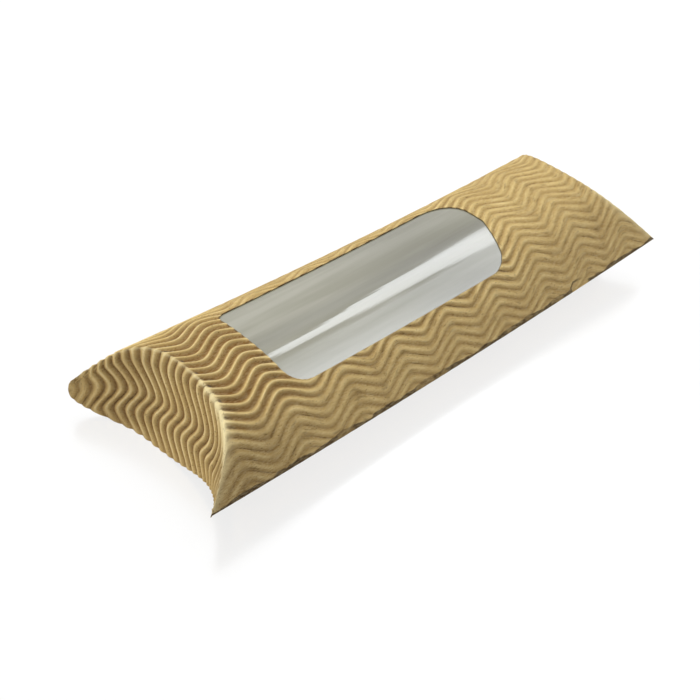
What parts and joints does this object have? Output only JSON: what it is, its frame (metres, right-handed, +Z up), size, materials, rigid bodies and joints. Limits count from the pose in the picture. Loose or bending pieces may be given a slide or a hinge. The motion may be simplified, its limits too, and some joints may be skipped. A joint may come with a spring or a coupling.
{
  "type": "pillow box",
  "caption": "Sandwich pillow box of fluted kraft board: a tapering sleeve with a clear film window, closed at both ends by flaps on curved creases.",
  "frame": {"origin": "middle of the box on the surface it stands on", "axes": "+X along the box, from the end the picture shows near to the far end; +Y across it, from the glued seam to the folded side; +Z up"},
  "size_m": [0.2051, 0.0725, 0.0363],
  "materials": {
    "fluted_kraft": "matte kraft paper, wavy flutes",
    "liner_kraft": "matte kraft paper, smooth",
    "clear_film": "clear glossy film",
    "dried_glue": "dried white glue"
  },
  "bodies": {
    "sleeve": {"top_flutes": "fluted_kraft", "top_liner": "liner_kraft", "bottom_flutes": "fluted_kraft", "bottom_liner": "liner_kraft", "seam_tab_flutes": "fluted_kraft", "seam_tab_liner": "liner_kraft", "seam_glue": "dried_glue", "window_film": "clear_film", "film_glue": "dried_glue"},
    "left_cover_flap": {"left_cover_flap_flutes": "fluted_kraft", "left_cover_flap_liner": "liner_kraft"},
    "left_tuck_flap": {"left_tuck_flap_flutes": "fluted_kraft", "left_tuck_flap_liner": "liner_kraft"},
    "right_cover_flap": {"right_cover_flap_flutes": "fluted_kraft", "right_cover_flap_liner": "liner_kraft"},
    "right_tuck_flap": {"right_tuck_flap_flutes": "fluted_kraft", "right_tuck_flap_liner": "liner_kraft"}
  },
  "joints": [
    {"name": "left_cover_flap_crease", "type": "hinge", "parent": "sleeve", "child": "left_cover_flap", "pos_m": [-0.08495, 0, 0.0313], "axis": [0, 1, 0], "range_deg": [0, 75]},
    {"name": "left_tuck_flap_crease", "type": "hinge", "parent": "sleeve", "child": "left_tuck_flap", "pos_m": [-0.09189, 0, 0], "axis": [0, -1, 0], "range_deg": [0, 75]},
    {"name": "right_cover_flap_crease", "type": "hinge", "parent": "sleeve", "child": "right_cover_flap", "pos_m": [0.08265, 0, 0.0363], "axis": [0, -1, 0], "range_deg": [0, 75]},
    {"name": "right_tuck_flap_crease", "type": "hinge", "parent": "sleeve", "child": "right_tuck_flap", "pos_m": [0.09097, 0, 0], "axis": [0, 1, 0], "range_deg": [0, 75]}
  ],
  "couplings": [
    {"joint": "left_tuck_flap_crease", "follows": "left_cover_flap_crease", "ratio": 1},
    {"joint": "right_tuck_flap_crease", "follows": "right_cover_flap_crease", "ratio": 1}
  ]
}
